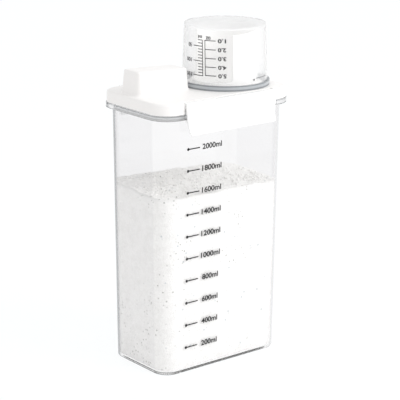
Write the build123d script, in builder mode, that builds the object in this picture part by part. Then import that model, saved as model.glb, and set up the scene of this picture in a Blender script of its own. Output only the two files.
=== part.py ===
from build123d import *
from math import radians, tan
import os

os.makedirs("parts", exist_ok=True)

# Container: a clear box with rounded corners that widens from its foot to its rim.
# The origin is the middle of the foot, +X points to the pouring end, -Y to the printed face.
foot_length = 132.4
foot_width = 78.6
foot_corner = 15.0
neck_length = 137.8
neck_width = 84.8
neck_corner = 17.8
body_height = 229.8
wall = 1.9
base_thickness = 2.6
foot_edge_radius = 2.6
floor_radius = 2.0
foot_land = 7.0
foot_recess = 0.8

# Rim that the latches grip
rim_reach = 4.55
rim_thickness = 4.8
rim_corner = 19.0
rim_edge_radius = 0.6

# Powder: lies a little higher at the back left
powder_level = 161.0
powder_clearance = 0.2
powder_rise_left = 1.6
powder_rise_back = 1.3
powder_wave = 1.1

# Lid: deck, skirt and a plug wall that reaches into the container
lid_inset = 0.8
lid_height = 9.9
deck_thickness = 2.2
skirt_wall = 2.2
deck_edge_radius = 2.2
skirt_edge_radius = 0.5
plug_depth = 6.6
plug_gap = 2.4
plug_wall = 1.8
groove_lip = 1.7
groove_rib = 1.3
deck_rib = 1.4
deck_rib_depth = 5.0
deck_rib_inset = 4.5

# Gasket in the groove of the plug wall
gasket_height = 2.4
gasket_clearance = 0.06
gasket_play = 0.1

# Handle: a hollow hump in the deck, a little lower at its end by the cup
handle_land = 5.1
handle_width = 27.0
handle_y = 8.0
handle_height = 21.0
handle_end_height = 18.8
handle_taper = 5.5
handle_corner = 5.0
handle_top_radius = 2.2
handle_foot_radius = 2.4
handle_wall = 2.2
handle_cup_gap = 0.4

# Latches: flaps on pins along both long sides of the lid
latch_length = 98.0
latch_end_taper = 2.4
latch_end_gap = 0.35
latch_thickness = 2.0
latch_barrel = 2.7
latch_axis_in = 1.95
latch_axis_down = 3.0
latch_rim_clearance = 0.35
latch_shoulder = 1.8
latch_reach_down = 24.2
latch_flare = 2.9
latch_flare_start = 12.6
latch_corner = 3.0
hook_depth = 2.3
hook_nose = 0.9
hook_height = 2.6
gusset_thickness = 1.2
gusset_count = 6
gusset_drop = 4.0
pin_radius = 1.1
pin_length = 3.2
pin_clearance = 0.05
cheek_thickness = 4.0
cheek_below_pin = 3.4
notch_clearance = 0.3
notch_wall = 1.8

# Pour spout under the cup
spout_x = 31.2
spout_radius = 29.0
spout_wall = 1.8
spout_headroom = 2.6
spout_lip_drop = 3.4
spout_gap_start = 12.3
spout_gap_low = 5.0
spout_gap_corner = 4.0
spout_lip_radius = 0.6
spout_flange_radius = 34.6
spout_flange = 1.4
spout_hole_clearance = 0.25
spout_tail = 3.0
snap_bead = 0.9
snap_bead_height = 1.2
snap_bead_length = 14.0
snap_bead_count = 3

# Seal ring round the foot of the cup
seal_height = 4.8
seal_base = 1.5
seal_lip = 1.5
seal_gap = 0.3
seal_edge_radius = 0.6

# Measuring cup, upside down over the spout
cup_mouth_radius = 38.0
cup_end_radius = 36.0
cup_height = 52.2
cup_wall = 1.6
cup_end_thickness = 2.0
cup_edge_radius = 3.6
cup_rest_gap = 0.3
dimple_radius = 5.5
dimple_depth = 0.5
gate_radius = 1.4

# Heights and sizes that follow
rim_bottom = body_height
rim_top = rim_bottom + rim_thickness
rim_length = neck_length + 2 * rim_reach
rim_width = neck_width + 2 * rim_reach
deck_top = rim_top + lid_height
deck_bottom = deck_top - deck_thickness
lid_length = rim_length - 2 * lid_inset
lid_width = rim_width - 2 * lid_inset
lid_corner = rim_corner - lid_inset
seal_radius = cup_mouth_radius + seal_gap + seal_lip


def shell_size(height, inset=0.0):
    # Length, width and corner radius of the container's outside at a height, less an inset
    share = height / body_height
    length = foot_length + (neck_length - foot_length) * share
    width = foot_width + (neck_width - foot_width) * share
    corner = foot_corner + (neck_corner - foot_corner) * share
    return length - 2 * inset, width - 2 * inset, corner - inset


with BuildPart() as container:
    for height in (0, rim_bottom):
        with BuildSketch(Plane.XY.offset(height)):
            RectangleRounded(*shell_size(height))
    loft()
    fillet(container.faces().sort_by(Axis.Z)[0].edges(), foot_edge_radius)
    with BuildSketch(Plane.XY.offset(rim_bottom)):
        RectangleRounded(rim_length, rim_width, rim_corner)
    extrude(amount=rim_thickness)
    fillet(container.faces().sort_by(Axis.Z)[-1].edges(), rim_edge_radius)
    rim_under = container.faces().filter_by_position(Axis.Z, rim_bottom - 0.01, rim_bottom + 0.01)
    fillet(rim_under[0].outer_wire().edges(), rim_edge_radius)
    for height in (base_thickness, rim_top):
        with BuildSketch(Plane.XY.offset(height)):
            RectangleRounded(*shell_size(height, wall))
    loft(mode=Mode.SUBTRACT)
    floor = container.faces().filter_by_position(Axis.Z, base_thickness - 0.1, base_thickness + 0.1)
    fillet(floor.edges(), floor_radius)
    with BuildSketch(Plane.XY):
        RectangleRounded(foot_length - 2 * foot_land, foot_width - 2 * foot_land, foot_corner - foot_land / 2)
    extrude(amount=foot_recess, mode=Mode.SUBTRACT)


def powder_height(across, along):
    # across runs from -1 at the left to 1 at the right, along from -1 at the front to 1 at the back
    wave = powder_wave * (across * across - 0.5) * (0.6 - along)
    return powder_level - powder_rise_left * across + powder_rise_back * along * (1 - 0.8 * across) - wave


surface_columns = 7
surface_rows = 5
surface_points = []
for column in range(surface_columns):
    across = 2 * column / (surface_columns - 1) - 1
    line = []
    for row in range(surface_rows):
        along = 2 * row / (surface_rows - 1) - 1
        line.append(Vector(across * neck_length / 2, along * neck_width / 2, powder_height(across, along)))
    surface_points.append(line)
powder_surface = Face.make_surface_from_array_of_points(surface_points)

powder_floor = base_thickness + powder_clearance
powder_trim = powder_level + 4 * (powder_rise_left + powder_rise_back + powder_wave)

with BuildPart() as washing_powder:
    for height in (powder_floor, powder_trim):
        with BuildSketch(Plane.XY.offset(height)):
            RectangleRounded(*shell_size(height, wall + powder_clearance))
    loft()
    fillet(washing_powder.faces().sort_by(Axis.Z)[0].edges(), floor_radius)
    split(bisect_by=powder_surface, keep=Keep.BOTTOM)

# Places of the latches: out is measured from the middle plane of the box
axis_out = lid_width / 2 - latch_axis_in
axis_z = deck_top - latch_axis_down
latch_inner = rim_width / 2 + latch_rim_clearance - axis_out
latch_outer = latch_inner + latch_thickness
hook_top = rim_bottom - latch_rim_clearance - axis_z
notch_out = axis_out - latch_barrel - notch_clearance
notch_half = latch_length / 2 + latch_end_gap
pin_bore = pin_radius + pin_clearance

plug_bottom = rim_top - plug_depth
gasket_top = rim_top - groove_rib - gasket_play
gasket_bottom = gasket_top - gasket_height
lower_rib_top = gasket_bottom - gasket_play
spout_bore = spout_radius + spout_hole_clearance

# The handle runs from the lid's left edge to the cup's seal, clear of it by its foot's fillet
handle_left = handle_land - lid_length / 2
handle_right = spout_x - seal_radius - handle_cup_gap - handle_foot_radius
handle_length = handle_right - handle_left
handle_fall = (handle_height - handle_end_height) / handle_length
handle_top = Plane(origin=(handle_left, handle_y, deck_top + handle_height), z_dir=(handle_fall, 0, 1))
handle_lean = tan(radians(handle_taper))

with BuildPart() as lid:
    with BuildSketch(Plane.XY.offset(rim_top)):
        RectangleRounded(lid_length, lid_width, lid_corner)
    extrude(amount=lid_height)
    fillet(lid.faces().sort_by(Axis.Z)[-1].edges(), deck_edge_radius)
    fillet(lid.faces().sort_by(Axis.Z)[0].edges(), skirt_edge_radius)
    # Handle, outside first, so that its foot runs into the deck on a fillet
    for height in (0, handle_height + handle_wall):
        lean = height * handle_lean
        with BuildSketch(Plane.XY.offset(deck_top + height)):
            with Locations(((handle_left + handle_right) / 2, handle_y)):
                RectangleRounded(handle_length - 2 * lean, handle_width - 2 * lean, handle_corner - lean)
    loft()
    split(bisect_by=handle_top, keep=Keep.BOTTOM)
    fillet(lid.faces().sort_by(Axis.Z)[-1].edges(), handle_top_radius)
    deck_face = lid.faces().filter_by_position(Axis.Z, deck_top - 0.01, deck_top + 0.01)[0]
    fillet(deck_face.inner_wires()[0].edges(), handle_foot_radius)
    # Underside between skirt and deck
    with BuildSketch(Plane.XY.offset(rim_top)):
        RectangleRounded(lid_length - 2 * skirt_wall, lid_width - 2 * skirt_wall, lid_corner - skirt_wall)
    extrude(amount=lid_height - deck_thickness, mode=Mode.SUBTRACT)
    # Notches for the latches, each with a wall behind it and cheeks for the pins
    for side in (-1, 1):
        notch_align = Align.MIN if side > 0 else Align.MAX
        with BuildSketch(Plane.XY.offset(rim_top)):
            with Locations((0, side * notch_out)):
                Rectangle(2 * notch_half, rim_width, align=(Align.CENTER, notch_align))
        extrude(amount=lid_height, mode=Mode.SUBTRACT)
        with BuildSketch(Plane.XY.offset(rim_top)):
            with Locations((0, side * (notch_out - notch_wall / 2))):
                Rectangle(2 * (notch_half + cheek_thickness), notch_wall)
        extrude(amount=lid_height - deck_thickness)
        cheek_low = axis_z - cheek_below_pin
        cheek_deep = lid_width / 2 - skirt_wall / 2 - notch_out + notch_wall
        cheek_y = side * (notch_out - notch_wall + cheek_deep / 2)
        with BuildSketch(Plane.XY.offset(cheek_low)):
            with GridLocations(2 * notch_half + cheek_thickness, 0, 2, 1):
                with Locations((0, cheek_y)):
                    Rectangle(cheek_thickness, cheek_deep)
        extrude(amount=deck_bottom - cheek_low)
        for end in (-1, 1):
            with BuildSketch(Plane.YZ.offset(end * notch_half)):
                with Locations((side * axis_out, axis_z)):
                    Circle(pin_bore)
            extrude(amount=end * (pin_length - latch_end_gap + pin_clearance), mode=Mode.SUBTRACT)
    # Plug wall and the two ribs that hold the gasket
    with BuildSketch(Plane.XY.offset(plug_bottom)):
        RectangleRounded(*shell_size(rim_top, wall + plug_gap))
        RectangleRounded(*shell_size(rim_top, wall + plug_gap + plug_wall), mode=Mode.SUBTRACT)
    extrude(amount=deck_bottom - plug_bottom)
    for rib_top, rib in ((rim_top, groove_rib), (lower_rib_top, groove_rib)):
        with BuildSketch(Plane.XY.offset(rib_top - rib)):
            RectangleRounded(*shell_size(rim_top, wall + plug_gap - groove_lip))
            RectangleRounded(*shell_size(rim_top, wall + plug_gap + plug_wall / 2), mode=Mode.SUBTRACT)
        extrude(amount=rib)
    # Ribs under the deck
    plug_length, plug_width, plug_corner = shell_size(rim_top, wall + plug_gap + plug_wall / 2)
    cross_rib_x = (handle_right + spout_x - spout_bore) / 2
    with BuildSketch(Plane.XY.offset(deck_bottom - deck_rib_depth)):
        with Locations((cross_rib_x, 0)):
            Rectangle(deck_rib, plug_width)
        with Locations((0, plug_width / 2 - deck_rib_inset), (0, deck_rib_inset - plug_width / 2)):
            Rectangle(plug_length, deck_rib)
    extrude(amount=deck_rib_depth)
    # Hollow of the handle, closed off from the plug wall
    hollow_left = max(handle_left + handle_wall, plug_wall - plug_length / 2)
    hollow_right = handle_right - handle_wall
    hollow_low = deck_bottom
    hollow_high = deck_top + handle_end_height - handle_wall
    hollow_lean = (hollow_high - hollow_low) * handle_lean
    hollow_width = handle_width - 2 * handle_wall
    for height, lean in ((hollow_low, 0), (hollow_high, hollow_lean)):
        left = max(hollow_left, handle_left + handle_wall + lean)
        right = hollow_right - lean
        with BuildSketch(Plane.XY.offset(height)):
            with Locations(((left + right) / 2, handle_y)):
                RectangleRounded(right - left, hollow_width - 2 * lean, handle_corner - handle_wall)
    loft(mode=Mode.SUBTRACT)
    # Hole for the spout
    with BuildSketch(Plane.XY.offset(deck_bottom - deck_rib_depth)):
        with Locations((spout_x, 0)):
            Circle(spout_bore)
    extrude(amount=deck_top - deck_bottom + deck_rib_depth, mode=Mode.SUBTRACT)

with BuildPart() as lid_gasket:
    with BuildSketch(Plane.XY.offset(gasket_bottom)):
        RectangleRounded(*shell_size(gasket_bottom, wall + gasket_clearance))
        RectangleRounded(*shell_size(rim_top, wall + plug_gap - gasket_clearance), mode=Mode.SUBTRACT)
    extrude(amount=gasket_height)

flare_radius = (latch_flare**2 + (latch_reach_down - latch_flare_start) ** 2) / (2 * latch_flare)
flare_sine = (latch_reach_down - latch_flare_start) / flare_radius
flare_cosine = (flare_radius - latch_flare) / flare_radius
flare_inner_end = (
    latch_outer + flare_radius - (flare_radius + latch_thickness) * flare_cosine,
    -latch_flare_start - (flare_radius + latch_thickness) * flare_sine,
)
latches = []
for side in (-1, 1):
    # The sketch plane looks along the pins: its x runs out from the lid, its y up
    latch_plane = Plane(origin=(0, side * axis_out, axis_z), x_dir=(0, side, 0), z_dir=(side, 0, 0))
    with BuildPart() as latch:
        with BuildSketch(latch_plane) as profile:
            with BuildLine():
                Polyline(
                    (latch_inner, -latch_flare_start),
                    (latch_inner, -latch_barrel / 2),
                    (0, -latch_barrel / 2),
                    (0, latch_barrel),
                    (latch_outer, latch_barrel),
                    (latch_outer, -latch_flare_start),
                )
                TangentArc(
                    (latch_outer, -latch_flare_start),
                    (latch_outer + latch_flare, -latch_reach_down),
                    tangent=(0, -1),
                )
                Line((latch_outer + latch_flare, -latch_reach_down), flare_inner_end)
                TangentArc((latch_inner, -latch_flare_start), flare_inner_end, tangent=(0, -1))
            make_face()
            Circle(latch_barrel)
            with BuildLine():
                Polyline(
                    (latch_inner + latch_thickness / 2, hook_top),
                    (latch_inner - hook_depth, hook_top),
                    (latch_inner - hook_depth, hook_top - hook_nose),
                    (latch_inner, hook_top - hook_height),
                    (latch_inner + latch_thickness / 2, hook_top - hook_height),
                    close=True,
                )
            make_face()
            fillet(profile.vertices().group_by(Axis.Y)[-1].sort_by(Axis.X)[-1], latch_shoulder)
        extrude(amount=latch_length / 2, both=True)
        # Gussets behind the hook
        gusset_spacing = (latch_length - 2 * latch_corner) / gusset_count
        with BuildSketch(latch_plane):
            with BuildLine():
                Polyline(
                    (latch_inner + latch_thickness / 2, hook_top - hook_nose),
                    (latch_inner - hook_depth, hook_top - hook_nose),
                    (latch_inner, hook_top - hook_height - gusset_drop),
                    (latch_inner + latch_thickness / 2, hook_top - hook_height - gusset_drop),
                    close=True,
                )
            make_face()
        gusset = extrude(amount=gusset_thickness / 2, both=True, mode=Mode.PRIVATE)
        for number in range(gusset_count):
            place = (number - (gusset_count - 1) / 2) * gusset_spacing
            add(gusset.moved(Location((place, 0, 0))))
        # Ends lean in towards the free edge
        with BuildSketch(Plane.XZ) as front:
            top = axis_z + latch_barrel + 1
            bottom = axis_z + flare_inner_end[1]
            half = latch_length / 2
            with BuildLine():
                Polyline(
                    (-half, top),
                    (half, top),
                    (half, axis_z - latch_barrel),
                    (half - latch_end_taper, bottom),
                    (latch_end_taper - half, bottom),
                    (-half, axis_z - latch_barrel),
                    close=True,
                )
            make_face()
            fillet(front.vertices().group_by(Axis.Y)[0], latch_corner)
        extrude(amount=rim_width, both=True, mode=Mode.INTERSECT)
        for end in (-1, 1):
            with BuildSketch(Plane.YZ.offset(end * latch_length / 2)):
                with Locations((side * axis_out, axis_z)):
                    Circle(pin_radius)
            extrude(amount=end * (pin_length - pin_clearance))
    latches.append(latch.part)

# Spout, seal and cup share one upright axis; heights here are above the deck
spout_plane = Plane(origin=(spout_x, 0, deck_top))
turning_plane = Plane(origin=(spout_x, 0, deck_top), x_dir=(1, 0, 0), z_dir=(0, -1, 0))
spout_axis = Axis((spout_x, 0, 0), (0, 0, 1))
cup_mouth = seal_base + cup_rest_gap
cup_top = cup_mouth + cup_height
cup_ceiling = cup_top - cup_end_thickness
spout_high = cup_ceiling - spout_headroom
spout_low = spout_high - spout_lip_drop
spout_slope = (spout_high - spout_low) / (2 * spout_radius)
spout_rim = Plane(
    origin=(spout_x, 0, deck_top + (spout_high + spout_low) / 2),
    z_dir=(-spout_slope, 0, 1),
)
spout_foot = -deck_thickness - spout_tail
bead_low = -deck_thickness - spout_hole_clearance - snap_bead_height

with BuildPart() as pour_spout:
    with BuildSketch(spout_plane.offset(spout_foot)):
        Circle(spout_radius)
    extrude(amount=spout_high + spout_radius - spout_foot)
    split(bisect_by=spout_rim, keep=Keep.BOTTOM)
    with BuildSketch(spout_plane):
        Circle(spout_flange_radius)
    extrude(amount=spout_flange)
    # Snap beads that hold the spout in the deck
    with BuildSketch(spout_plane.offset(bead_low)):
        with PolarLocations(spout_radius, snap_bead_count):
            Rectangle(3 * snap_bead, snap_bead_length)
        Circle(spout_radius + snap_bead, mode=Mode.INTERSECT)
    extrude(amount=snap_bead_height)
    with BuildSketch(spout_plane.offset(spout_foot)):
        Circle(spout_radius - spout_wall)
    extrude(amount=spout_high + spout_radius - spout_foot, mode=Mode.SUBTRACT)
    # Upper part of the side towards the handle is left open
    with BuildSketch(Plane.XZ.offset(-spout_flange_radius)) as gap:
        with Locations((spout_x - spout_gap_start, deck_top + spout_gap_low)):
            Rectangle(spout_radius, spout_high, align=(Align.MAX, Align.MIN))
        fillet(gap.vertices().group_by(Axis.Y)[0].sort_by(Axis.X)[-1], spout_gap_corner)
    extrude(amount=2 * spout_flange_radius, mode=Mode.SUBTRACT)
    fillet(pour_spout.faces().filter_by(spout_rim).edges(), spout_lip_radius)

seal_inner = spout_flange_radius + seal_gap

with BuildPart() as cup_seal:
    with BuildSketch(turning_plane) as section:
        with BuildLine():
            Polyline(
                (seal_inner, 0),
                (seal_radius, 0),
                (seal_radius, seal_height),
                (seal_radius - seal_lip, seal_height),
                (seal_radius - seal_lip, seal_base),
                (seal_inner, seal_base),
                close=True,
            )
        make_face()
        fillet(section.vertices().group_by(Axis.Y)[-1], seal_edge_radius)
    revolve(axis=spout_axis)

with BuildPart() as measuring_cup:
    with BuildSketch(turning_plane) as section:
        with BuildLine():
            Polyline(
                (0, cup_top),
                (cup_end_radius, cup_top),
                (cup_mouth_radius, cup_mouth),
                (cup_mouth_radius - cup_wall, cup_mouth),
                (cup_end_radius - cup_wall, cup_ceiling),
                (0, cup_ceiling),
                close=True,
            )
        make_face()
        levels = section.vertices().group_by(Axis.Y)
        fillet(levels[0], cup_wall / 3)
        fillet(levels[-1].sort_by(Axis.X)[-1], cup_edge_radius)
        fillet(levels[-2].sort_by(Axis.X)[-1], cup_edge_radius - cup_wall)
    revolve(axis=spout_axis)
    with BuildSketch(spout_plane.offset(cup_top)):
        Circle(dimple_radius)
        Circle(gate_radius, mode=Mode.SUBTRACT)
    extrude(amount=-dimple_depth, mode=Mode.SUBTRACT)

front_latch, back_latch = latches
pieces = {
    "container": container.part,
    "washing_powder": washing_powder.part,
    "lid": lid.part,
    "lid_gasket": lid_gasket.part,
    "front_latch": front_latch,
    "back_latch": back_latch,
    "pour_spout": pour_spout.part,
    "cup_seal": cup_seal.part,
    "measuring_cup": measuring_cup.part,
}
for name, piece in pieces.items():
    piece.label = name
    export_step(piece, f"parts/{name}.step")
    print(name, round(piece.volume / 1000, 2), "cm3", "valid" if piece.is_valid else "not valid")
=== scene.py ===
import bmesh
import bpy
import math
import random
from mathutils import Matrix, Vector, noise


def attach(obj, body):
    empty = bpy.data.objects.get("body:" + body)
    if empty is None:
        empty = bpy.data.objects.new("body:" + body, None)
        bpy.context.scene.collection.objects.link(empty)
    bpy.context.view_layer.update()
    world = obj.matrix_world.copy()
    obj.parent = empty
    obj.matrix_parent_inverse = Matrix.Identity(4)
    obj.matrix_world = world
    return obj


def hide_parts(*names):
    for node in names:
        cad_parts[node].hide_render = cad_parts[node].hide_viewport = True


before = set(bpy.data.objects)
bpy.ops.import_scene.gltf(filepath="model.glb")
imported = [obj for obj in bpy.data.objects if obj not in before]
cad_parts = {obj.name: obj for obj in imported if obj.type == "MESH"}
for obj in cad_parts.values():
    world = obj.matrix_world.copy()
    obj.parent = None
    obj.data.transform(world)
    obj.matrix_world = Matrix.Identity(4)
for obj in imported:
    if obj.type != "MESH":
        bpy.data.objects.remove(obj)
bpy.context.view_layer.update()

mm = 0.001

# Camera
view = {
    "turn": -38.72,      # degrees round the box, 0 looks at the printed face
    "rise": 15.76,
    "roll": 0.36,
    "distance": 1.4,
    "lens": 141.07,
    "aim": (0.0, 0.0, 0.130),
    "offset": (-3.80 / 1567.42, 12.80 / 1567.42),     # of the distance, right and up
    "sensor": 36,
}


def placeCamera():
    turn, rise, roll = (math.radians(view[key]) for key in ("turn", "rise", "roll"))
    back = Vector((math.sin(turn) * math.cos(rise), -math.cos(turn) * math.cos(rise), math.sin(rise)))
    right = Vector((math.cos(turn), math.sin(turn), 0))
    up = back.cross(right)
    right, up = right * math.cos(roll) + up * math.sin(roll), up * math.cos(roll) - right * math.sin(roll)
    across, above = (share * view["distance"] for share in view["offset"])
    place = Vector(view["aim"]) + back * view["distance"] - right * across + up * above
    data = bpy.data.cameras.new("photoCamera")
    data.lens = view["lens"]
    data.sensor_width = view["sensor"]
    camera = bpy.data.objects.new("photoCamera", data)
    turned = Matrix((right, up, back)).transposed().to_4x4()
    camera.matrix_world = Matrix.Translation(place) @ turned
    bpy.context.scene.collection.objects.link(camera)
    bpy.context.scene.camera = camera


placeCamera()
print("camera placed")


# Node helpers
def addNode(tree, kind, place, **settings):
    node = tree.nodes.new(kind)
    node.location = place
    for key, value in settings.items():
        if key in node.inputs:
            node.inputs[key].default_value = value
        else:
            setattr(node, key, value)
    return node


def setRange(node, span, side="From"):
    node.inputs[side + " Min"].default_value, node.inputs[side + " Max"].default_value = span


def newGroup(name, inputs, outputs):
    group = bpy.data.node_groups.new(name, "ShaderNodeTree")
    for label, kind, value in inputs:
        socket = group.interface.new_socket(name=label, in_out="INPUT", socket_type=kind)
        if value is not None:
            socket.default_value = value
    for label, kind in outputs:
        group.interface.new_socket(name=label, in_out="OUTPUT", socket_type=kind)
    start = addNode(group, "NodeGroupInput", (-900, 0))
    end = addNode(group, "NodeGroupOutput", (700, 0))
    return group, start, end


def useGroup(tree, group, place, **values):
    node = tree.nodes.new("ShaderNodeGroup")
    node.node_tree = group
    node.location = place
    for key, value in values.items():
        node.inputs[key].default_value = value
    return node


def newMaterial(name, **settings):
    material = bpy.data.materials.new(name)
    material.use_nodes = True
    tree = material.node_tree
    shader = tree.nodes["Principled BSDF"]
    for key, value in settings.items():
        shader.inputs[key.replace("_", " ")].default_value = value
    return material, tree, shader


# Moulded skin: fine grain for the normal, and a slow change of gloss
skin = {"broadSize": 38.0, "broadSpan": (0.35, 0.65), "bump": 0.3}


def makeMouldedSkin():
    group, start, end = newGroup(
        "mouldedSkin",
        [("Grain Size", "NodeSocketFloat", 900.0), ("Grain Depth", "NodeSocketFloat", 0.02),
         ("Gloss Low", "NodeSocketFloat", 0.3), ("Gloss High", "NodeSocketFloat", 0.45)],
        [("Roughness", "NodeSocketFloat"), ("Height", "NodeSocketFloat")],
    )
    spot = addNode(group, "ShaderNodeTexCoord", (-900, 300))
    fine = addNode(group, "ShaderNodeTexNoise", (-600, 200), Detail=3.0, Roughness=0.6)
    broad = addNode(group, "ShaderNodeTexNoise", (-600, -200), Scale=skin["broadSize"],
                    Detail=4.0, Roughness=0.55)
    gloss = addNode(group, "ShaderNodeMapRange", (-300, -200))
    height = addNode(group, "ShaderNodeMath", (-300, 200), operation="MULTIPLY")
    link = group.links.new
    link(spot.outputs["Object"], fine.inputs["Vector"])
    link(spot.outputs["Object"], broad.inputs["Vector"])
    link(start.outputs["Grain Size"], fine.inputs["Scale"])
    link(broad.outputs["Fac"], gloss.inputs["Value"])
    setRange(gloss, skin["broadSpan"])
    link(start.outputs["Gloss Low"], gloss.inputs["To Min"])
    link(start.outputs["Gloss High"], gloss.inputs["To Max"])
    link(fine.outputs["Fac"], height.inputs[0])
    link(start.outputs["Grain Depth"], height.inputs[1])
    link(gloss.outputs["Result"], end.inputs["Roughness"])
    link(height.outputs["Value"], end.inputs["Height"])
    return group


# Rubbed edges: a paler colour on outer corners, broken up with noise
rubbing = {"wearSize": 120.0, "cornerSpan": (0.505, 0.56)}


def makeRubbedEdges():
    group, start, end = newGroup(
        "rubbedEdges",
        [("Colour", "NodeSocketColor", (0.9, 0.9, 0.9, 1)), ("Edge Colour", "NodeSocketColor", (1, 1, 1, 1)),
         ("Amount", "NodeSocketFloat", 0.5)],
        [("Colour", "NodeSocketColor")],
    )
    shape = addNode(group, "ShaderNodeNewGeometry", (-900, 300))
    spot = addNode(group, "ShaderNodeTexCoord", (-900, 500))
    wear = addNode(group, "ShaderNodeTexNoise", (-700, 500), Scale=rubbing["wearSize"], Detail=4.0)
    ramp = addNode(group, "ShaderNodeMapRange", (-500, 300))
    setRange(ramp, rubbing["cornerSpan"])
    rub = addNode(group, "ShaderNodeMath", (-300, 300), operation="MULTIPLY")
    share = addNode(group, "ShaderNodeMath", (-100, 300), operation="MULTIPLY", use_clamp=True)
    mix = addNode(group, "ShaderNodeMix", (200, 100), data_type="RGBA")
    link = group.links.new
    link(spot.outputs["Object"], wear.inputs["Vector"])
    link(shape.outputs["Pointiness"], ramp.inputs["Value"])
    link(ramp.outputs["Result"], rub.inputs[0])
    link(wear.outputs["Fac"], rub.inputs[1])
    link(rub.outputs["Value"], share.inputs[0])
    link(start.outputs["Amount"], share.inputs[1])
    link(share.outputs["Value"], mix.inputs["Factor"])
    link(start.outputs["Colour"], mix.inputs[6])
    link(start.outputs["Edge Colour"], mix.inputs[7])
    link(mix.outputs[2], end.inputs["Colour"])
    return group


# Strewn specks: a few round grains of another colour, picked out of a cell pattern
def makeStrewnSpecks():
    group, start, end = newGroup(
        "strewnSpecks",
        [("Size", "NodeSocketFloat", 500.0), ("Share", "NodeSocketFloat", 0.05),
         ("Radius", "NodeSocketFloat", 0.3)],
        [("Mask", "NodeSocketFloat")],
    )
    spot = addNode(group, "ShaderNodeTexCoord", (-900, 300))
    cells = addNode(group, "ShaderNodeTexVoronoi", (-600, 200))
    chance = addNode(group, "ShaderNodeSeparateColor", (-400, 0))
    picked = addNode(group, "ShaderNodeMath", (-200, 0), operation="LESS_THAN")
    inside = addNode(group, "ShaderNodeMath", (-200, 200), operation="LESS_THAN")
    both = addNode(group, "ShaderNodeMath", (100, 100), operation="MULTIPLY")
    link = group.links.new
    link(spot.outputs["Object"], cells.inputs["Vector"])
    link(start.outputs["Size"], cells.inputs["Scale"])
    link(cells.outputs["Color"], chance.inputs["Color"])
    link(chance.outputs["Red"], picked.inputs[0])
    link(start.outputs["Share"], picked.inputs[1])
    link(cells.outputs["Distance"], inside.inputs[0])
    link(start.outputs["Radius"], inside.inputs[1])
    link(picked.outputs["Value"], both.inputs[0])
    link(inside.outputs["Value"], both.inputs[1])
    link(both.outputs["Value"], end.inputs["Mask"])
    return group


# Height lines: a mask that is 1 along two heights, and partly on between them
def makeHeightLines():
    group, start, end = newGroup(
        "heightLines",
        [("First", "NodeSocketFloat", 0.0), ("Second", "NodeSocketFloat", 0.01),
         ("Half Width", "NodeSocketFloat", 0.0005), ("Between", "NodeSocketFloat", 0.0)],
        [("Mask", "NodeSocketFloat")],
    )
    spot = addNode(group, "ShaderNodeTexCoord", (-900, 300))
    split = addNode(group, "ShaderNodeSeparateXYZ", (-700, 300))
    first = addNode(group, "ShaderNodeMath", (-400, 200), operation="COMPARE")
    second = addNode(group, "ShaderNodeMath", (-400, 0), operation="COMPARE")
    either = addNode(group, "ShaderNodeMath", (0, 100), operation="MAXIMUM")
    above = addNode(group, "ShaderNodeMath", (-400, -200), operation="GREATER_THAN")
    below = addNode(group, "ShaderNodeMath", (-400, -400), operation="LESS_THAN")
    middle = addNode(group, "ShaderNodeMath", (-200, -300), operation="MULTIPLY")
    partly = addNode(group, "ShaderNodeMath", (0, -300), operation="MULTIPLY")
    whole = addNode(group, "ShaderNodeMath", (300, 0), operation="MAXIMUM")
    link = group.links.new
    link(spot.outputs["Object"], split.inputs["Vector"])
    for bound, height in ((above, "First"), (below, "Second")):
        link(split.outputs["Z"], bound.inputs[0])
        link(start.outputs[height], bound.inputs[1])
    link(above.outputs["Value"], middle.inputs[0])
    link(below.outputs["Value"], middle.inputs[1])
    link(middle.outputs["Value"], partly.inputs[0])
    link(start.outputs["Between"], partly.inputs[1])
    for line, height in ((first, "First"), (second, "Second")):
        link(split.outputs["Z"], line.inputs[0])
        link(start.outputs[height], line.inputs[1])
        link(start.outputs["Half Width"], line.inputs[2])
    link(first.outputs["Value"], either.inputs[0])
    link(second.outputs["Value"], either.inputs[1])
    link(either.outputs["Value"], whole.inputs[0])
    link(partly.outputs["Value"], whole.inputs[1])
    link(whole.outputs["Value"], end.inputs["Mask"])
    return group


heightLines = makeHeightLines()
mouldedSkin = makeMouldedSkin()
rubbedEdges = makeRubbedEdges()
strewnSpecks = makeStrewnSpecks()


def whitePlastic(name, finish):
    material, tree, shader = newMaterial(name, Specular_IOR_Level=finish["shine"], IOR=1.49)
    surface = useGroup(tree, mouldedSkin, (-700, -200), **{
        "Grain Size": finish["grainSize"], "Grain Depth": finish["grainDepth"],
        "Gloss Low": finish["gloss"][0], "Gloss High": finish["gloss"][1]})
    edges = useGroup(tree, rubbedEdges, (-700, 200), **{
        "Colour": (*finish["colour"], 1), "Edge Colour": (*finish["edgeColour"], 1), "Amount": finish["rub"]})
    bump = addNode(tree, "ShaderNodeBump", (-300, -200), Strength=skin["bump"], Distance=mm)
    tree.links.new(edges.outputs["Colour"], shader.inputs["Base Color"])
    tree.links.new(surface.outputs["Roughness"], shader.inputs["Roughness"])
    tree.links.new(surface.outputs["Height"], bump.inputs["Height"])
    tree.links.new(bump.outputs["Normal"], shader.inputs["Normal"])
    return material


# Clear plastic lets lamp light and bounced light straight through, so that what it holds is lit.
# A wall seen from the side is painted a little darker, and where it turns away a dark edge is painted on,
# stronger away from the lamp: painted shade.
clearRays = {
    "nearWalls": 1.5,           # clear surfaces that show the edge, counted from the eye
    "anyBounce": 0.5,
    "turnSpan": (0.3, -0.3),    # from the lamp's side to the side away from it
    "bump": 0.2,
}


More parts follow.
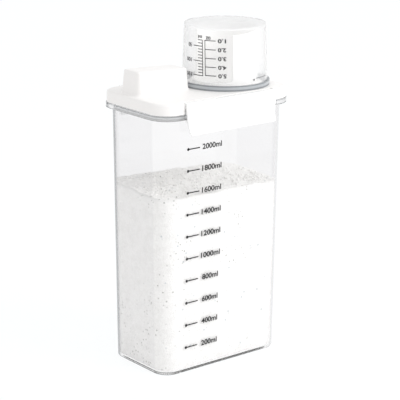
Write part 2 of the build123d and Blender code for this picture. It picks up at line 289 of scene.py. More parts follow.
def clearPlastic(name, finish):
    material, tree, shader = newMaterial(
        name, Base_Color=(*finish["tint"], 1), Transmission_Weight=finish["clearness"], Metallic=0.0,
        IOR=finish["bend"])
    surface = useGroup(tree, mouldedSkin, (-700, -200), **{
        "Grain Size": finish["rippleSize"], "Grain Depth": finish["rippleDepth"],
        "Gloss Low": finish["gloss"][0], "Gloss High": finish["gloss"][1]})
    bump = addNode(tree, "ShaderNodeBump", (-300, -200), Strength=clearRays["bump"], Distance=mm)
    path = addNode(tree, "ShaderNodeLightPath", (-500, 700))
    either = addNode(tree, "ShaderNodeMath", (-200, 700), operation="MAXIMUM")
    deep = addNode(tree, "ShaderNodeMath", (-200, 500), operation="GREATER_THAN")
    deep.inputs[1].default_value = finish["deepest"]
    let = addNode(tree, "ShaderNodeMath", (0, 600), operation="MAXIMUM")
    straight = addNode(tree, "ShaderNodeMath", (150, 600), operation="MAXIMUM")
    clear = addNode(tree, "ShaderNodeBsdfTransparent", (0, 300))
    clear.inputs["Color"].default_value = (*finish["lightTint"], 1)
    mix = addNode(tree, "ShaderNodeMixShader", (300, 300))
    slant = addNode(tree, "ShaderNodeLayerWeight", (-900, 500), Blend=0.5)
    steep = addNode(tree, "ShaderNodeMapRange", (-700, 500))
    setRange(steep, finish["edge"])
    aside = addNode(tree, "ShaderNodeMapRange", (-700, 300))
    setRange(aside, finish["aside"])
    # Painted shade: a wall seen from the side gets a darker tint
    flat = addNode(tree, "ShaderNodeMix", (-600, 400), data_type="RGBA")
    flat.inputs[6].default_value = (*finish["tint"], 1)
    flat.inputs[7].default_value = (*finish["paintedSideShade"], 1)
    # Painted shade: a dark edge where near walls turn away from the eye, stronger on the side away from the
    # lamp
    shape = addNode(tree, "ShaderNodeNewGeometry", (-1300, 900))
    faceWay = addNode(tree, "ShaderNodeSeparateXYZ", (-1100, 900))
    unlit = addNode(tree, "ShaderNodeMapRange", (-900, 950))
    setRange(unlit, clearRays["turnSpan"])
    unlit.inputs["To Min"].default_value = finish["edgeShadeOnLitSide"]
    tone = addNode(tree, "ShaderNodeMix", (-450, 400), data_type="RGBA")
    tone.inputs[7].default_value = (*finish["paintedEdgeShade"], 1)
    near = addNode(tree, "ShaderNodeMath", (-900, 800), operation="LESS_THAN")
    near.inputs[1].default_value = clearRays["nearWalls"]
    edge = addNode(tree, "ShaderNodeMath", (-700, 600), operation="MULTIPLY")
    turned = addNode(tree, "ShaderNodeMath", (-550, 600), operation="MULTIPLY")
    bounced = addNode(tree, "ShaderNodeMath", (-200, 900), operation="GREATER_THAN")
    bounced.inputs[1].default_value = clearRays["anyBounce"]
    link = tree.links.new
    link(slant.outputs["Facing"], aside.inputs["Value"])
    link(aside.outputs["Result"], flat.inputs["Factor"])
    link(flat.outputs[2], tone.inputs[6])
    link(shape.outputs["Normal"], faceWay.inputs["Vector"])
    link(faceWay.outputs["X"], unlit.inputs["Value"])
    link(path.outputs["Transmission Depth"], near.inputs[0])
    link(slant.outputs["Facing"], steep.inputs["Value"])
    link(steep.outputs["Result"], edge.inputs[0])
    link(near.outputs["Value"], edge.inputs[1])
    link(edge.outputs["Value"], turned.inputs[0])
    link(unlit.outputs["Result"], turned.inputs[1])
    link(turned.outputs["Value"], tone.inputs["Factor"])
    colour = tone.outputs[2]
    # Painted shade: dark lines at the rim's top, in the gap under the lid's skirt, and at the rim's lower
    # edge, partly filled in between
    if "rimShadeLines" in finish:
        lines = useGroup(tree, heightLines, (-900, 1100), **{
            "First": finish["rimShadeLines"][0] * mm, "Second": finish["rimShadeLines"][1] * mm,
            "Half Width": finish["rimShadeHalf"] * mm, "Between": finish["rimShadeBetween"]})
        seen = addNode(tree, "ShaderNodeMath", (-600, 1000), operation="MULTIPLY")
        rimShaded = addNode(tree, "ShaderNodeMix", (-250, 500), data_type="RGBA")
        rimShaded.inputs[7].default_value = (*finish["rimShadeTint"], 1)
        link(lines.outputs["Mask"], seen.inputs[0])
        link(near.outputs["Value"], seen.inputs[1])
        link(seen.outputs["Value"], rimShaded.inputs["Factor"])
        link(colour, rimShaded.inputs[6])
        colour = rimShaded.outputs[2]
    link(colour, shader.inputs["Base Color"])
    link(surface.outputs["Roughness"], shader.inputs["Roughness"])
    link(surface.outputs["Height"], bump.inputs["Height"])
    link(bump.outputs["Normal"], shader.inputs["Normal"])
    link(path.outputs["Is Shadow Ray"], either.inputs[0])
    link(path.outputs["Is Diffuse Ray"], either.inputs[1])
    link(path.outputs["Transmission Depth"], deep.inputs[0])
    link(either.outputs["Value"], let.inputs[0])
    link(deep.outputs["Value"], let.inputs[1])
    link(path.outputs["Glossy Depth"], bounced.inputs[0])
    link(let.outputs["Value"], straight.inputs[0])
    link(bounced.outputs["Value"], straight.inputs[1])
    link(straight.outputs["Value"], mix.inputs["Fac"])
    link(shader.outputs["BSDF"], mix.inputs[1])
    link(clear.outputs["BSDF"], mix.inputs[2])
    link(mix.outputs["Shader"], tree.nodes["Material Output"].inputs["Surface"])
    return material


def ringRubber(name, finish):
    # The ring's upper and lower edge are darker than its belly
    material = whitePlastic(name, finish)
    tree = material.node_tree
    shader = tree.nodes["Principled BSDF"]
    belly = shader.inputs["Base Color"].links[0].from_socket
    lines = useGroup(tree, heightLines, (-700, 500), **{
        "First": finish["lines"][0] * mm, "Second": finish["lines"][1] * mm,
        "Half Width": finish["lineHalf"] * mm})
    mix = addNode(tree, "ShaderNodeMix", (-300, 400), data_type="RGBA")
    mix.inputs[7].default_value = (*finish["lineColour"], 1)
    tree.links.new(lines.outputs["Mask"], mix.inputs["Factor"])
    tree.links.new(belly, mix.inputs[6])
    tree.links.new(mix.outputs[2], shader.inputs["Base Color"])
    return material


def dressNode(node, material):
    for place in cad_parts[node].material_slots:
        place.material = material


lidLook = {
    "colour": (0.90, 0.885, 0.875), "edgeColour": (0.96, 0.95, 0.945), "rub": 0.5, "shine": 0.4,
    "gloss": (0.30, 0.42), "grainSize": 1400.0, "grainDepth": 0.05,
}
latchLook = {
    "colour": (0.93, 0.93, 0.925), "edgeColour": (0.97, 0.97, 0.97), "rub": 0.5, "shine": 0.45,
    "gloss": (0.22, 0.34), "grainSize": 1600.0, "grainDepth": 0.03,
}
spoutLook = {
    "colour": (0.985, 0.978, 0.966), "edgeColour": (0.985, 0.98, 0.97), "rub": 0.4, "shine": 0.3,
    "gloss": (0.28, 0.4), "grainSize": 1500.0, "grainDepth": 0.04,
}
sealLook = {
    "colour": (0.43, 0.455, 0.48), "edgeColour": (0.50, 0.52, 0.54), "rub": 0.4, "shine": 0.6,
    "gloss": (0.14, 0.24), "grainSize": 2200.0, "grainDepth": 0.06,
    "lines": (245.1, 249.0), "lineHalf": 0.85, "lineColour": (0.25, 0.265, 0.28),
}
gasketLook = {
    "colour": (0.85, 0.86, 0.865), "edgeColour": (0.92, 0.92, 0.92), "rub": 0.3, "shine": 0.4,
    "gloss": (0.3, 0.45), "grainSize": 2000.0, "grainDepth": 0.05,
}
boxLook = {
    # painted shade: the side tint, the edge tint and the rim lines' tint
    "tint": (0.958, 0.957, 0.961), "paintedSideShade": (0.84, 0.837, 0.848), "aside": (0.29, 0.40),
    "paintedEdgeShade": (0.16, 0.17, 0.18), "edge": (0.46, 0.60), "edgeShadeOnLitSide": 0.3, "clearness": 1.0,
    "rimShadeLines": (230.35, 233.95), "rimShadeHalf": 0.5, "rimShadeTint": (0.34, 0.35, 0.36),
    "rimShadeBetween": 0.22,
    "lightTint": (0.99, 0.992, 0.995), "bend": 1.49,
    "gloss": (0.01, 0.03), "rippleSize": 40.0, "rippleDepth": 0.06, "deepest": 6.5,
}
cupLook = {
    # painted shade: the side tint and the edge tint
    "tint": (0.982, 0.981, 0.985), "paintedSideShade": (0.93, 0.93, 0.936), "aside": (0.25, 0.65),
    "paintedEdgeShade": (0.62, 0.63, 0.64), "edge": (0.42, 0.90), "edgeShadeOnLitSide": 0.75, "clearness": 0.88,
    "lightTint": (0.995, 0.995, 0.995), "bend": 1.49,
    "gloss": (0.10, 0.16), "rippleSize": 45.0, "rippleDepth": 0.04, "deepest": 4.5,
}
print("finishes made")

dressNode("lid", whitePlastic("lidPlastic", lidLook))
latchPlastic = whitePlastic("latchPlastic", latchLook)
dressNode("front_latch", latchPlastic)
dressNode("back_latch", latchPlastic)
dressNode("pour_spout", whitePlastic("spoutPlastic", spoutLook))
dressNode("cup_seal", ringRubber("sealRubber", sealLook))
dressNode("lid_gasket", whitePlastic("gasketSilicone", gasketLook))
dressNode("container", clearPlastic("boxPlastic", boxLook))
dressNode("measuring_cup", clearPlastic("cupPlastic", cupLook))
print("carried-over parts dressed")

# Washing powder
box = {
    "foot": (132.4, 78.6, 15.0), "neck": (137.8, 84.8, 17.8), "height": 229.8, "wall": 1.9, "floor": 2.6,
}
powder = {
    "level": 161.0, "gap": 0.2, "riseLeft": 1.6, "riseBack": 1.3, "wave": 1.1,
    "aroundPoints": 360, "rings": 72, "layers": 40,
    "floorRound": 2.0, "floorSteps": ((0, 1), (0.3, 0.3), (1, 0)),      # raised, drawn in
    "lumpSize": 11.0, "lumpHeight": 0.9, "grainSize": 2.1, "grainHeight": 0.6,
    "crumbs": 1000, "crumbSizes": (0.4, 1.5), "crumbEdge": 4.1, "crumbDraw": 11,
    "crumbRough": 0.35, "crumbFlat": 0.7, "crumbProud": 0.25,
    "crumbPatches": ((46, -22, 13), (-50, -18, 12)),    # x, y and spread
}


def outlineAt(height, inset, count):
    share = height / box["height"]
    length, width, corner = (low + (high - low) * share for low, high in zip(box["foot"], box["neck"]))
    halfX, halfY, corner = length / 2 - inset, width / 2 - inset, corner - inset
    straightX, straightY = 2 * (halfX - corner), 2 * (halfY - corner)
    arc = math.pi * corner / 2
    total = 2 * (straightX + straightY) + 4 * arc
    points = []
    for number in range(count):
        run = total * number / count
        for side in range(4):
            straight = straightY if side % 2 == 0 else straightX
            reachX, reachY = (halfX, halfY - corner) if side % 2 == 0 else (halfY, halfX - corner)
            if run <= straight:
                point = (reachX, run - reachY)
                break
            run -= straight
            if run <= arc:
                angle = run / corner
                point = (reachX - corner + corner * math.cos(angle), reachY + corner * math.sin(angle))
                break
            run -= arc
        turnCos, turnSin = ((1, 0), (0, 1), (-1, 0), (0, -1))[side]
        points.append((point[0] * turnCos - point[1] * turnSin, point[0] * turnSin + point[1] * turnCos))
    return points


def powderHeight(x, y):
    # Highest at the left and the back, and least wavy at the back
    across = x / (box["neck"][0] / 2)
    along = y / (box["neck"][1] / 2)
    wave = powder["wave"] * (across * across - 0.5) * (0.6 - along)
    tilt = powder["riseBack"] * along * (1 - 0.8 * across) - powder["riseLeft"] * across
    level = powder["level"] + tilt - wave
    spot = Vector((x, y, 0))
    lump = noise.noise(spot / powder["lumpSize"]) * powder["lumpHeight"]
    grain = noise.noise(spot / powder["grainSize"]) + 0.6 * noise.noise(spot / (powder["grainSize"] * 0.5))
    return level + lump + grain * powder["grainHeight"]


def addCrumbs(points, faces):
    # Small lumps strewn over the heap, thicker in a few patches; none touches the wall
    chance = random.Random(powder["crumbDraw"])
    ball = bmesh.new()
    bmesh.ops.create_icosphere(ball, subdivisions=1, radius=1.0)
    form = [point.co.copy() for point in ball.verts]
    sides = [tuple(point.index for point in face.verts) for face in ball.faces]
    ball.free()
    limitX = box["neck"][0] / 2 - box["wall"] - powder["crumbEdge"]
    limitY = box["neck"][1] / 2 - box["wall"] - powder["crumbEdge"]
    corner = box["neck"][2]
    small, large = powder["crumbSizes"]
    for number in range(powder["crumbs"]):
        if number % 2:
            patchX, patchY, spread = powder["crumbPatches"][(number // 2) % len(powder["crumbPatches"])]
            x, y = chance.gauss(patchX, spread), chance.gauss(patchY, spread)
        else:
            x, y = chance.uniform(-limitX, limitX), chance.uniform(-limitY, limitY)
        overX, overY = max(0, abs(x) - limitX + corner), max(0, abs(y) - limitY + corner)
        size = small + (large - small) * chance.random() ** 2.5     # most are small
        angle = chance.uniform(0, 6.3)
        axis = Vector((chance.random(), chance.random(), 1))
        turn = Matrix.Rotation(angle, 3, axis.normalized())
        if math.hypot(overX, overY) > corner:
            continue
        first = len(points)
        height = powderHeight(x, y) + size * powder["crumbProud"]
        for direction in form:
            bulge = noise.noise(direction * 1.7 + Vector((number, 0, 0)))
            reach = size * (1 + powder["crumbRough"] * bulge)
            place = turn @ direction * reach
            z = height + place.z * powder["crumbFlat"]
            points.append(((x + place.x) * mm, (y + place.y) * mm, z * mm))
        faces += [tuple(first + index for index in side) for side in sides]


def makePowder():
    count = powder["aroundPoints"]
    inset = box["wall"] + powder["gap"]
    bottom = box["floor"] + powder["gap"]
    points, faces = [], []
    for layer in range(powder["layers"] + 1):
        share = layer / powder["layers"]
        rim = outlineAt(powder["level"] * share, inset, count)
        for x, y in rim:
            top = powderHeight(x, y)
            height = bottom + (top - bottom) * share
            pull = 0.0
            if layer < len(powder["floorSteps"]):
                raised, drawnIn = powder["floorSteps"][layer]
                height, pull = bottom + powder["floorRound"] * raised, powder["floorRound"] * drawnIn
            reach = math.hypot(x, y)
            points.append(((x - x / reach * pull) * mm, (y - y / reach * pull) * mm, height * mm))
    for layer in range(powder["layers"]):
        for number in range(count):
            near = layer * count + number
            beside = layer * count + (number + 1) % count
            faces.append((near, beside, beside + count, near + count))
    lastRing = powder["layers"] * count
    rim = outlineAt(powder["level"], inset, count)
    for ring in range(1, powder["rings"]):
        share = 1 - ring / powder["rings"]
        firstPoint = len(points)
        for x, y in rim:
            points.append((x * share * mm, y * share * mm, powderHeight(x * share, y * share) * mm))
        for number in range(count):
            beside = (number + 1) % count
            faces.append((lastRing + number, lastRing + beside, firstPoint + beside, firstPoint + number))
        lastRing = firstPoint
    middle = len(points)
    points.append((0, 0, powderHeight(0, 0) * mm))
    for number in range(count):
        faces.append((lastRing + number, lastRing + (number + 1) % count, middle))
    faces.append(tuple(reversed(range(count))))
    addCrumbs(points, faces)
    mesh = bpy.data.meshes.new("powderFill")
    mesh.from_pydata(points, [], faces)
    mesh.shade_smooth()
    piece = bpy.data.objects.new("powderFill", mesh)
    bpy.context.scene.collection.objects.link(piece)
    return piece


powderLook = {
    "colour": (0.972, 0.962, 0.946), "shade": (0.905, 0.894, 0.876),
    "greySpecks": (0.50, 0.50, 0.47), "blueSpecks": (0.66, 0.69, 0.70), "crowding": (0.56, 0.70),
    "gather": (1.3, 0.7),       # more grey specks to the left, and towards the top
    "greySize": 450.0, "greyShare": 0.13, "greyRadius": 0.34,
    "blueSize": 330.0, "blueShare": 0.035, "blueRadius": 0.3,
    "grainSize": 1100.0, "patchSize": 160.0, "fineSize": 700.0, "driftSize": 34.0,
    "patchSpan": (0.38, 0.56), "roughness": (0.85, 1.0), "bump": 0.55, "bumpDeep": 0.6,
}


def powderMaterial():
    material, tree, shader = newMaterial("powderGrains", Specular_IOR_Level=0.15)
    spot = addNode(tree, "ShaderNodeTexCoord", (-1300, 0))
    grains = addNode(tree, "ShaderNodeTexVoronoi", (-1000, 0), Scale=powderLook["grainSize"])
    broad = addNode(tree, "ShaderNodeTexNoise", (-1000, 300), Scale=powderLook["patchSize"],
                    Detail=7.0, Roughness=0.75)
    fine = addNode(tree, "ShaderNodeTexNoise", (-1000, -300), Scale=powderLook["fineSize"], Detail=3.0)
    shade = addNode(tree, "ShaderNodeMapRange", (-750, 300))
    setRange(shade, powderLook["patchSpan"])
    tone = addNode(tree, "ShaderNodeMix", (-500, 300), data_type="RGBA")
    tone.inputs[6].default_value = (*powderLook["shade"], 1)
    tone.inputs[7].default_value = (*powderLook["colour"], 1)
    grey = useGroup(tree, strewnSpecks, (-750, 600), Size=powderLook["greySize"],
                    Share=powderLook["greyShare"], Radius=powderLook["greyRadius"])
    blue = useGroup(tree, strewnSpecks, (-750, 800), Size=powderLook["blueSize"],
                    Share=powderLook["blueShare"], Radius=powderLook["blueRadius"])
    drift = addNode(tree, "ShaderNodeTexNoise", (-1000, 900), Scale=powderLook["driftSize"], Detail=3.0)
    along = addNode(tree, "ShaderNodeSeparateXYZ", (-1000, 1100))
    leaning = addNode(tree, "ShaderNodeMath", (-850, 1100), operation="MULTIPLY_ADD")
    leaning.inputs[1].default_value = -powderLook["gather"][0]
    rising = addNode(tree, "ShaderNodeMath", (-850, 1250), operation="MULTIPLY_ADD")
    rising.inputs[1].default_value = powderLook["gather"][1]
    crowd = addNode(tree, "ShaderNodeMapRange", (-750, 1000))
    setRange(crowd, powderLook["crowding"])
    greyHere = addNode(tree, "ShaderNodeMath", (-450, 700), operation="MULTIPLY")
    withGrey = addNode(tree, "ShaderNodeMix", (-250, 400), data_type="RGBA")
    withGrey.inputs[7].default_value = (*powderLook["greySpecks"], 1)
    withBlue = addNode(tree, "ShaderNodeMix", (0, 400), data_type="RGBA")
    withBlue.inputs[7].default_value = (*powderLook["blueSpecks"], 1)
    rough = addNode(tree, "ShaderNodeMapRange", (-500, 0))
    setRange(rough, powderLook["roughness"], "To")
    heap = addNode(tree, "ShaderNodeMath", (-500, -200), operation="ADD")
    bump = addNode(tree, "ShaderNodeBump", (-250, -200), Strength=powderLook["bump"],
                   Distance=powderLook["bumpDeep"] * mm)
    link = tree.links.new
    for texture in (grains, broad, fine, drift):
        link(spot.outputs["Object"], texture.inputs["Vector"])
    link(broad.outputs["Fac"], shade.inputs["Value"])
    link(shade.outputs["Result"], tone.inputs["Factor"])
    link(tone.outputs[2], withGrey.inputs[6])
    link(spot.outputs["Object"], along.inputs["Vector"])
    link(along.outputs["X"], leaning.inputs[0])
    link(drift.outputs["Fac"], leaning.inputs[2])
    link(along.outputs["Z"], rising.inputs[0])
    link(leaning.outputs["Value"], rising.inputs[2])
    link(rising.outputs["Value"], crowd.inputs["Value"])
    link(grey.outputs["Mask"], greyHere.inputs[0])
    link(crowd.outputs["Result"], greyHere.inputs[1])
    link(greyHere.outputs["Value"], withGrey.inputs["Factor"])
    link(withGrey.outputs[2], withBlue.inputs[6])
    link(blue.outputs["Mask"], withBlue.inputs["Factor"])
    link(withBlue.outputs[2], shader.inputs["Base Color"])
    link(fine.outputs["Fac"], rough.inputs["Value"])
    link(rough.outputs["Result"], shader.inputs["Roughness"])
    link(grains.outputs["Distance"], heap.inputs[0])
    link(fine.outputs["Fac"], heap.inputs[1])
    link(heap.outputs["Value"], bump.inputs["Height"])
    link(bump.outputs["Normal"], shader.inputs["Normal"])
    return material


powderFill = makePowder()
powderFill.data.materials.append(powderMaterial())
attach(powderFill, "box")
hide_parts("washing_powder")
print("powder heaped")

# Printed scales
inkLook = {
    "black": (0.008, 0.008, 0.009), "grey": (0.02, 0.02, 0.022), "pale": (0.16, 0.16, 0.165),
    "patchSize": 600.0, "patchGain": 1.6, "grainSize": 1800.0, "grainDepth": 0.1, "gloss": (0.35, 0.55),
}


def inkMaterial(name, colour):
    material, tree, shader = newMaterial(name, Specular_IOR_Level=0.4)
    surface = useGroup(tree, mouldedSkin, (-700, -200), **{
        "Grain Size": inkLook["grainSize"], "Grain Depth": inkLook["grainDepth"],
        "Gloss Low": inkLook["gloss"][0], "Gloss High": inkLook["gloss"][1]})
    spot = addNode(tree, "ShaderNodeTexCoord", (-900, 300))
    patch = addNode(tree, "ShaderNodeTexNoise", (-700, 300), Scale=inkLook["patchSize"], Detail=3.0)
    tone = addNode(tree, "ShaderNodeMix", (-400, 300), data_type="RGBA")
    tone.inputs[6].default_value = (*colour, 1)
    tone.inputs[7].default_value = (*(value * inkLook["patchGain"] for value in colour), 1)
    link = tree.links.new
    link(spot.outputs["Object"], patch.inputs["Vector"])
    link(patch.outputs["Fac"], tone.inputs["Factor"])
    link(tone.outputs[2], shader.inputs["Base Color"])
    link(surface.outputs["Roughness"], shader.inputs["Roughness"])
    return material


def wordShape(words, width, tall, bold):
    # Flat letters round their own middle: lists of points and faces in millimetres
    curve = bpy.data.curves.new("letters", "FONT")
    curve.body = words
    curve.resolution_u = 4
    curve.offset = bold
    holder = bpy.data.objects.new("letters", curve)
    bpy.context.scene.collection.objects.link(holder)
    bpy.context.view_layer.update()
    mesh = bpy.data.meshes.new_from_object(holder.evaluated_get(bpy.context.evaluated_depsgraph_get()))
    xs = [point.co.x for point in mesh.vertices]
    ys = [point.co.y for point in mesh.vertices]
    spanX, spanY = max(xs) - min(xs), max(ys) - min(ys)
    scaleX, scaleY = width / spanX, tall / spanY
    midX, midY = (max(xs) + min(xs)) / 2, (max(ys) + min(ys)) / 2
    points = [((x - midX) * scaleX, (y - midY) * scaleY) for x, y in zip(xs, ys)]
    faces = [tuple(face.vertices) for face in mesh.polygons]
    bpy.data.objects.remove(holder)
    bpy.data.curves.remove(curve)
    bpy.data.meshes.remove(mesh)
    return points, faces


def barShape(length, thick, parts=8):
    # Cut across into parts, so that it can bend round the cup
    points, faces = [], []
    for number in range(parts + 1):
        x = length * (number / parts - 0.5)
        points += [(x, -thick / 2), (x, thick / 2)]
    for number in range(parts):
        near = 2 * number
        faces.append((near, near + 2, near + 3, near + 1))
    return points, faces


def dotShape(radius, count=28):
    angles = [2 * math.pi * number / count for number in range(count)]
    points = [(0, 0)] + [(radius * math.cos(angle), radius * math.sin(angle)) for angle in angles]
    return points, [(0, number + 1, (number + 1) % count + 1) for number in range(count)]


class InkSheet:
    # Collects flat shapes and lays them on a surface through one function
    def __init__(self, name, layOn):
        self.name, self.layOn, self.points, self.faces = name, layOn, [], []

    def add(self, shape, middle, upsideDown=False, upright=False):
        first = len(self.points)
        for x, y in shape[0]:
            if upright:
                x, y = -y, x
            if upsideDown:
                x, y = -x, -y
            self.points.append(self.layOn(middle[0] + x, middle[1] + y))
        self.faces += [tuple(first + index for index in face) for face in shape[1]]

    def finish(self, material, body, slotName):
        mesh = bpy.data.meshes.new(self.name)
        mesh.from_pydata(self.points, [], self.faces)
        mesh.materials.append(material)
        piece = bpy.data.objects.new(self.name, mesh)
        bpy.context.scene.collection.objects.link(piece)
        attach(piece, body)


volumeMarks = {
    "dotX": -42.4, "dotRadius": 1.3, "lineEnd": -29.8, "lineThick": 1.05,
    "wordMiddle": -16.4, "wordWidthPerLetter": 3.55, "wordTall": 5.0, "lift": 0.06,
    "wordRise": 0.3, "zero": 2.6, "lastMark": 2000, "step": 200, "slice": 0.05, "bold": 0.03,
}


def layOnFront(x, z):
    share = z / box["height"]
    y = -(box["foot"][1] + (box["neck"][1] - box["foot"][1]) * share) / 2 - volumeMarks["lift"]
    return x * mm, y * mm, z * mm


def insideArea(height):
    share = height / box["height"]
    length, width, corner = (low + (high - low) * share for low, high in zip(box["foot"], box["neck"]))
    length, width, corner = length - 2 * box["wall"], width - 2 * box["wall"], corner - box["wall"]
    return length * width - (4 - math.pi) * corner * corner


def markHeights():
    # Fills the container slice by slice, and notes the height at each printed volume
    heights, filled, height = [], 0.0, volumeMarks["zero"]
    wanted = volumeMarks["step"]
    while wanted <= volumeMarks["lastMark"]:
        filled += insideArea(height) * volumeMarks["slice"] / 1000
        height += volumeMarks["slice"]
        if filled >= wanted:
            heights.append((wanted, height))
            wanted += volumeMarks["step"]
    return heights


inkBlack = inkMaterial("inkBlack", inkLook["black"])
inkGrey = inkMaterial("inkGrey", inkLook["grey"])
boxPrint = InkSheet("volumeMarks", layOnFront)
for volume, height in markHeights():
    start, stop = volumeMarks["dotX"], volumeMarks["lineEnd"]
    boxPrint.add(dotShape(volumeMarks["dotRadius"]), (start, height))
    boxPrint.add(barShape(stop - start, volumeMarks["lineThick"]), ((start + stop) / 2, height))
    words = f"{volume}ml"
    width = volumeMarks["wordWidthPerLetter"] * len(words)
    letters = wordShape(words, width, volumeMarks["wordTall"], volumeMarks["bold"])
    boxPrint.add(letters, (volumeMarks["wordMiddle"], height + volumeMarks["wordRise"]))
boxPrint.finish(inkBlack, "box", "seal_rubber")

cup = {
    "middleX": 31.2, "mouth": 246.3, "top": 298.5, "mouthRadius": 38.0, "endRadius": 36.0,
    "wall": 1.6, "end": 2.0, "roundLoss": 0.8, "lift": 0.05,
}
cupMarks = {
    "ounceAngle": -158.6, "millilitreAngle": -162.6, "lineThick": 0.66, "lineParts": 24, "slice": 0.05,
    "ounce": 29.574, "ounces": 5, "ounceTick": 9.9,
    "first": 30, "last": 150, "step": 10, "numbered": 50, "smallTick": 4.8, "bigTick": 10.2,
    "numberTall": 3.6, "numberWide": 7.2, "numberGap": 1.8, "digitWide": 2.4, "digitGap": 2.4, "bold": 0.035,
    "ozSize": (4.6, 2.8), "ozPlace": (3.2, 2.2), "mlSize": (4.2, 3.0), "mlPlace": (-2.4, 2.6),
    "dotAngle": -86.8, "dotHeight": 252.9, "dotRadius": 0.85,
    "arrowAngle": -57.0, "arrowGap": 2.4, "arrowRise": 1.0, "arrowThick": 0.5, "arrowHead": (2.6, 1.1),
}


def cupTaper(run):
    # Change of the cup's radius along a run of its height
    return (cup["mouthRadius"] - cup["endRadius"]) * run / (cup["top"] - cup["mouth"])


def layOnCup(x, z):
    # x is measured round the cup from its -Y side
    radius = cup["mouthRadius"] - cupTaper(z - cup["mouth"])
    angle = x / radius - math.pi / 2
    reach = radius + cup["lift"]
    return (cup["middleX"] + reach * math.cos(angle)) * mm, reach * math.sin(angle) * mm, z * mm


def roundCup(angle):
    return math.radians(angle + 90) * cup["endRadius"]


def cupHeight(volume):
    # Height of the printed mark for a volume in millilitres, counted down from the cup's end
    filled, depth = 0.0, 0.0
    while filled < volume:
        radius = cup["endRadius"] - cup["wall"] + cupTaper(depth)
        filled += math.pi * radius * radius * cupMarks["slice"] / 1000
        depth += cupMarks["slice"]
    return cup["top"] - cup["end"] - cup["roundLoss"] - depth


def addCupLine(x, firstVolume, lastVolume):
    high, low = cupHeight(firstVolume), cupHeight(lastVolume)
    line = barShape(high - low + cupMarks["lineThick"], cupMarks["lineThick"], cupMarks["lineParts"])
    cupPrint.add(line, (x, (high + low) / 2), upright=True)


def addCupWords(words, width, tall, place):
    cupPrint.add(wordShape(words, width, tall, cupMarks["bold"]), place, upsideDown=True)


cupPrint = InkSheet("cupScale", layOnCup)
ounceX, millilitreX = roundCup(cupMarks["ounceAngle"]), roundCup(cupMarks["millilitreAngle"])
numberX = ounceX + cupMarks["ounceTick"] + cupMarks["numberGap"] + cupMarks["numberWide"] / 2
for ounces in range(1, cupMarks["ounces"] + 1):
    height = cupHeight(cupMarks["ounce"] * ounces)
    tick = barShape(cupMarks["ounceTick"], cupMarks["lineThick"])
    cupPrint.add(tick, (ounceX + cupMarks["ounceTick"] / 2, height))
    addCupWords(f"{ounces}.0", cupMarks["numberWide"], cupMarks["numberTall"], (numberX, height))
addCupLine(ounceX, cupMarks["ounce"], cupMarks["ounces"] * cupMarks["ounce"])
addCupLine(millilitreX, cupMarks["first"], cupMarks["last"])
for volume in range(cupMarks["first"], cupMarks["last"] + 1, cupMarks["step"]):
    height = cupHeight(volume)
    big = volume % cupMarks["numbered"] == 0
    length = cupMarks["bigTick"] if big else cupMarks["smallTick"]
    cupPrint.add(barShape(length, cupMarks["lineThick"]), (millilitreX - length / 2, height))
    if big:
        width = cupMarks["digitWide"] * len(str(volume))
        middle = millilitreX - length - cupMarks["digitGap"] - width / 2
        addCupWords(str(volume), width, cupMarks["numberTall"], (middle, height))
for words, lineX, volume in (("oz", ounceX, cupMarks["ounce"]), ("ml", millilitreX, cupMarks["first"])):
    across, above = cupMarks[words + "Place"]
    addCupWords(words, *cupMarks[words + "Size"], (lineX + across, cupHeight(volume) + above))
dotX, dotHeight = roundCup(cupMarks["dotAngle"]), cupMarks["dotHeight"]
cupPrint.add(dotShape(cupMarks["dotRadius"]), (dotX, dotHeight))
cupPrint.finish(inkGrey, "measuring_cup", "seal_rubber")

turnMark = InkSheet("turnArrow", layOnCup)
start, stop = dotX + cupMarks["arrowGap"], roundCup(cupMarks["arrowAngle"])
height = dotHeight + cupMarks["arrowRise"]
shaft = barShape(stop - start, cupMarks["arrowThick"], cupMarks["lineParts"])
turnMark.add(shaft, ((start + stop) / 2, height))
back, half = cupMarks["arrowHead"]
turnMark.add(([(-back, half), (-back, -half), (0, 0)], [(0, 1, 2)]), (stop, height))
turnMark.finish(inkMaterial("inkPale", inkLook["pale"]), "measuring_cup", "seal_rubber")
print("scales printed")

# Floor, world and lamp
studio = {
    "ambient": 0.90, "floorColour": (0.97, 0.97, 0.965), "floorSeenReflectionTint": (0.86, 0.96, 1.0),
    "floorGlow": 0.84, "glowStrength": 1.03,
    "keyPower": 13.0, "keyPlace": (0.75, -1.35, 1.15), "keyAim": (0, 0, 0.15), "keySize": 0.9,
    "floorPoints": 64, "floorRadius": 7.0,
}


def seenDirectly(tree, place):
    # 1 for rays from the camera, and for those that a glossy or clear surface sends on
    path = addNode(tree, "ShaderNodeLightPath", place)
    first = addNode(tree, "ShaderNodeMath", (place[0] + 200, place[1]), operation="MAXIMUM")
    second = addNode(tree, "ShaderNodeMath", (place[0] + 400, place[1]), operation="MAXIMUM")
    tree.links.new(path.outputs["Is Camera Ray"], first.inputs[0])
    tree.links.new(path.outputs["Is Glossy Ray"], first.inputs[1])
    tree.links.new(first.outputs["Value"], second.inputs[0])
    tree.links.new(path.outputs["Is Transmission Ray"], second.inputs[1])
    return second.outputs["Value"]


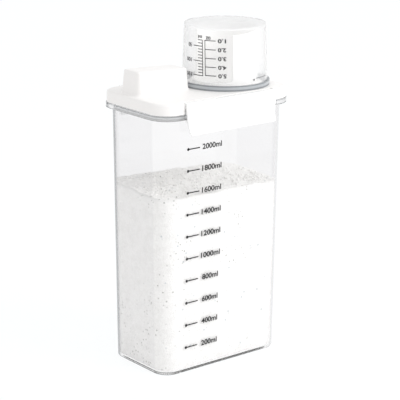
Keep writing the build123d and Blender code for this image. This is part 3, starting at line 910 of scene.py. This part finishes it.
def makeFloor():
    count, radius = studio["floorPoints"], studio["floorRadius"]
    angles = [2 * math.pi * number / count for number in range(count)]
    points = [(radius * math.cos(angle), radius * math.sin(angle), 0) for angle in angles]
    mesh = bpy.data.meshes.new("studioFloor")
    mesh.from_pydata(points, [], [tuple(range(count))])
    floor = bpy.data.objects.new("studioFloor", mesh)
    bpy.context.scene.collection.objects.link(floor)
    material, tree, shader = newMaterial("floorPaper", Roughness=0.6, Specular_IOR_Level=0.1)
    path = addNode(tree, "ShaderNodeLightPath", (-700, 0))
    paper = addNode(tree, "ShaderNodeMix", (-300, 0), data_type="RGBA")
    # Painted reflection: camera rays see a bluer floor, so where the box shades it a faint blue stands in for
    # the box's reflection
    paper.inputs[6].default_value = (*studio["floorColour"], 1)
    paper.inputs[7].default_value = (*studio["floorSeenReflectionTint"], 1)
    tree.links.new(path.outputs["Is Camera Ray"], paper.inputs["Factor"])
    tree.links.new(paper.outputs[2], shader.inputs["Base Color"])
    glow = addNode(tree, "ShaderNodeEmission", (0, 300), Strength=studio["glowStrength"])
    mix = addNode(tree, "ShaderNodeMixShader", (300, 200))
    share = addNode(tree, "ShaderNodeMath", (0, 500), operation="MULTIPLY")
    share.inputs[1].default_value = studio["floorGlow"]
    tree.links.new(seenDirectly(tree, (-700, 500)), share.inputs[0])
    tree.links.new(share.outputs["Value"], mix.inputs["Fac"])
    tree.links.new(shader.outputs["BSDF"], mix.inputs[1])
    tree.links.new(glow.outputs["Emission"], mix.inputs[2])
    tree.links.new(mix.outputs["Shader"], tree.nodes["Material Output"].inputs["Surface"])
    mesh.materials.append(material)


def makeWorld():
    world = bpy.data.worlds.new("studioWorld")
    world.use_nodes = True
    bpy.context.scene.world = world
    tree = world.node_tree
    tree.nodes.clear()
    soft = addNode(tree, "ShaderNodeBackground", (0, 0), Color=(1, 1, 1, 1), Strength=studio["ambient"])
    white = addNode(tree, "ShaderNodeBackground", (0, 200), Color=(1, 1, 1, 1), Strength=1.0)
    mix = addNode(tree, "ShaderNodeMixShader", (300, 100))
    end = addNode(tree, "ShaderNodeOutputWorld", (500, 100))
    tree.links.new(seenDirectly(tree, (-700, 300)), mix.inputs["Fac"])
    tree.links.new(soft.outputs["Background"], mix.inputs[1])
    tree.links.new(white.outputs["Background"], mix.inputs[2])
    tree.links.new(mix.outputs["Shader"], end.inputs["Surface"])


def makeKeyLamp():
    data = bpy.data.lights.new("keyLamp", "AREA")
    data.energy = studio["keyPower"]
    data.size = studio["keySize"]
    lamp = bpy.data.objects.new("keyLamp", data)
    aim = Vector(studio["keyAim"]) - Vector(studio["keyPlace"])
    lamp.rotation_euler = aim.to_track_quat("-Z", "Y").to_euler()
    lamp.location = studio["keyPlace"]
    bpy.context.scene.collection.objects.link(lamp)


makeFloor()
makeWorld()
makeKeyLamp()
bpy.context.scene.view_settings.view_transform = "Standard"
print("studio set")
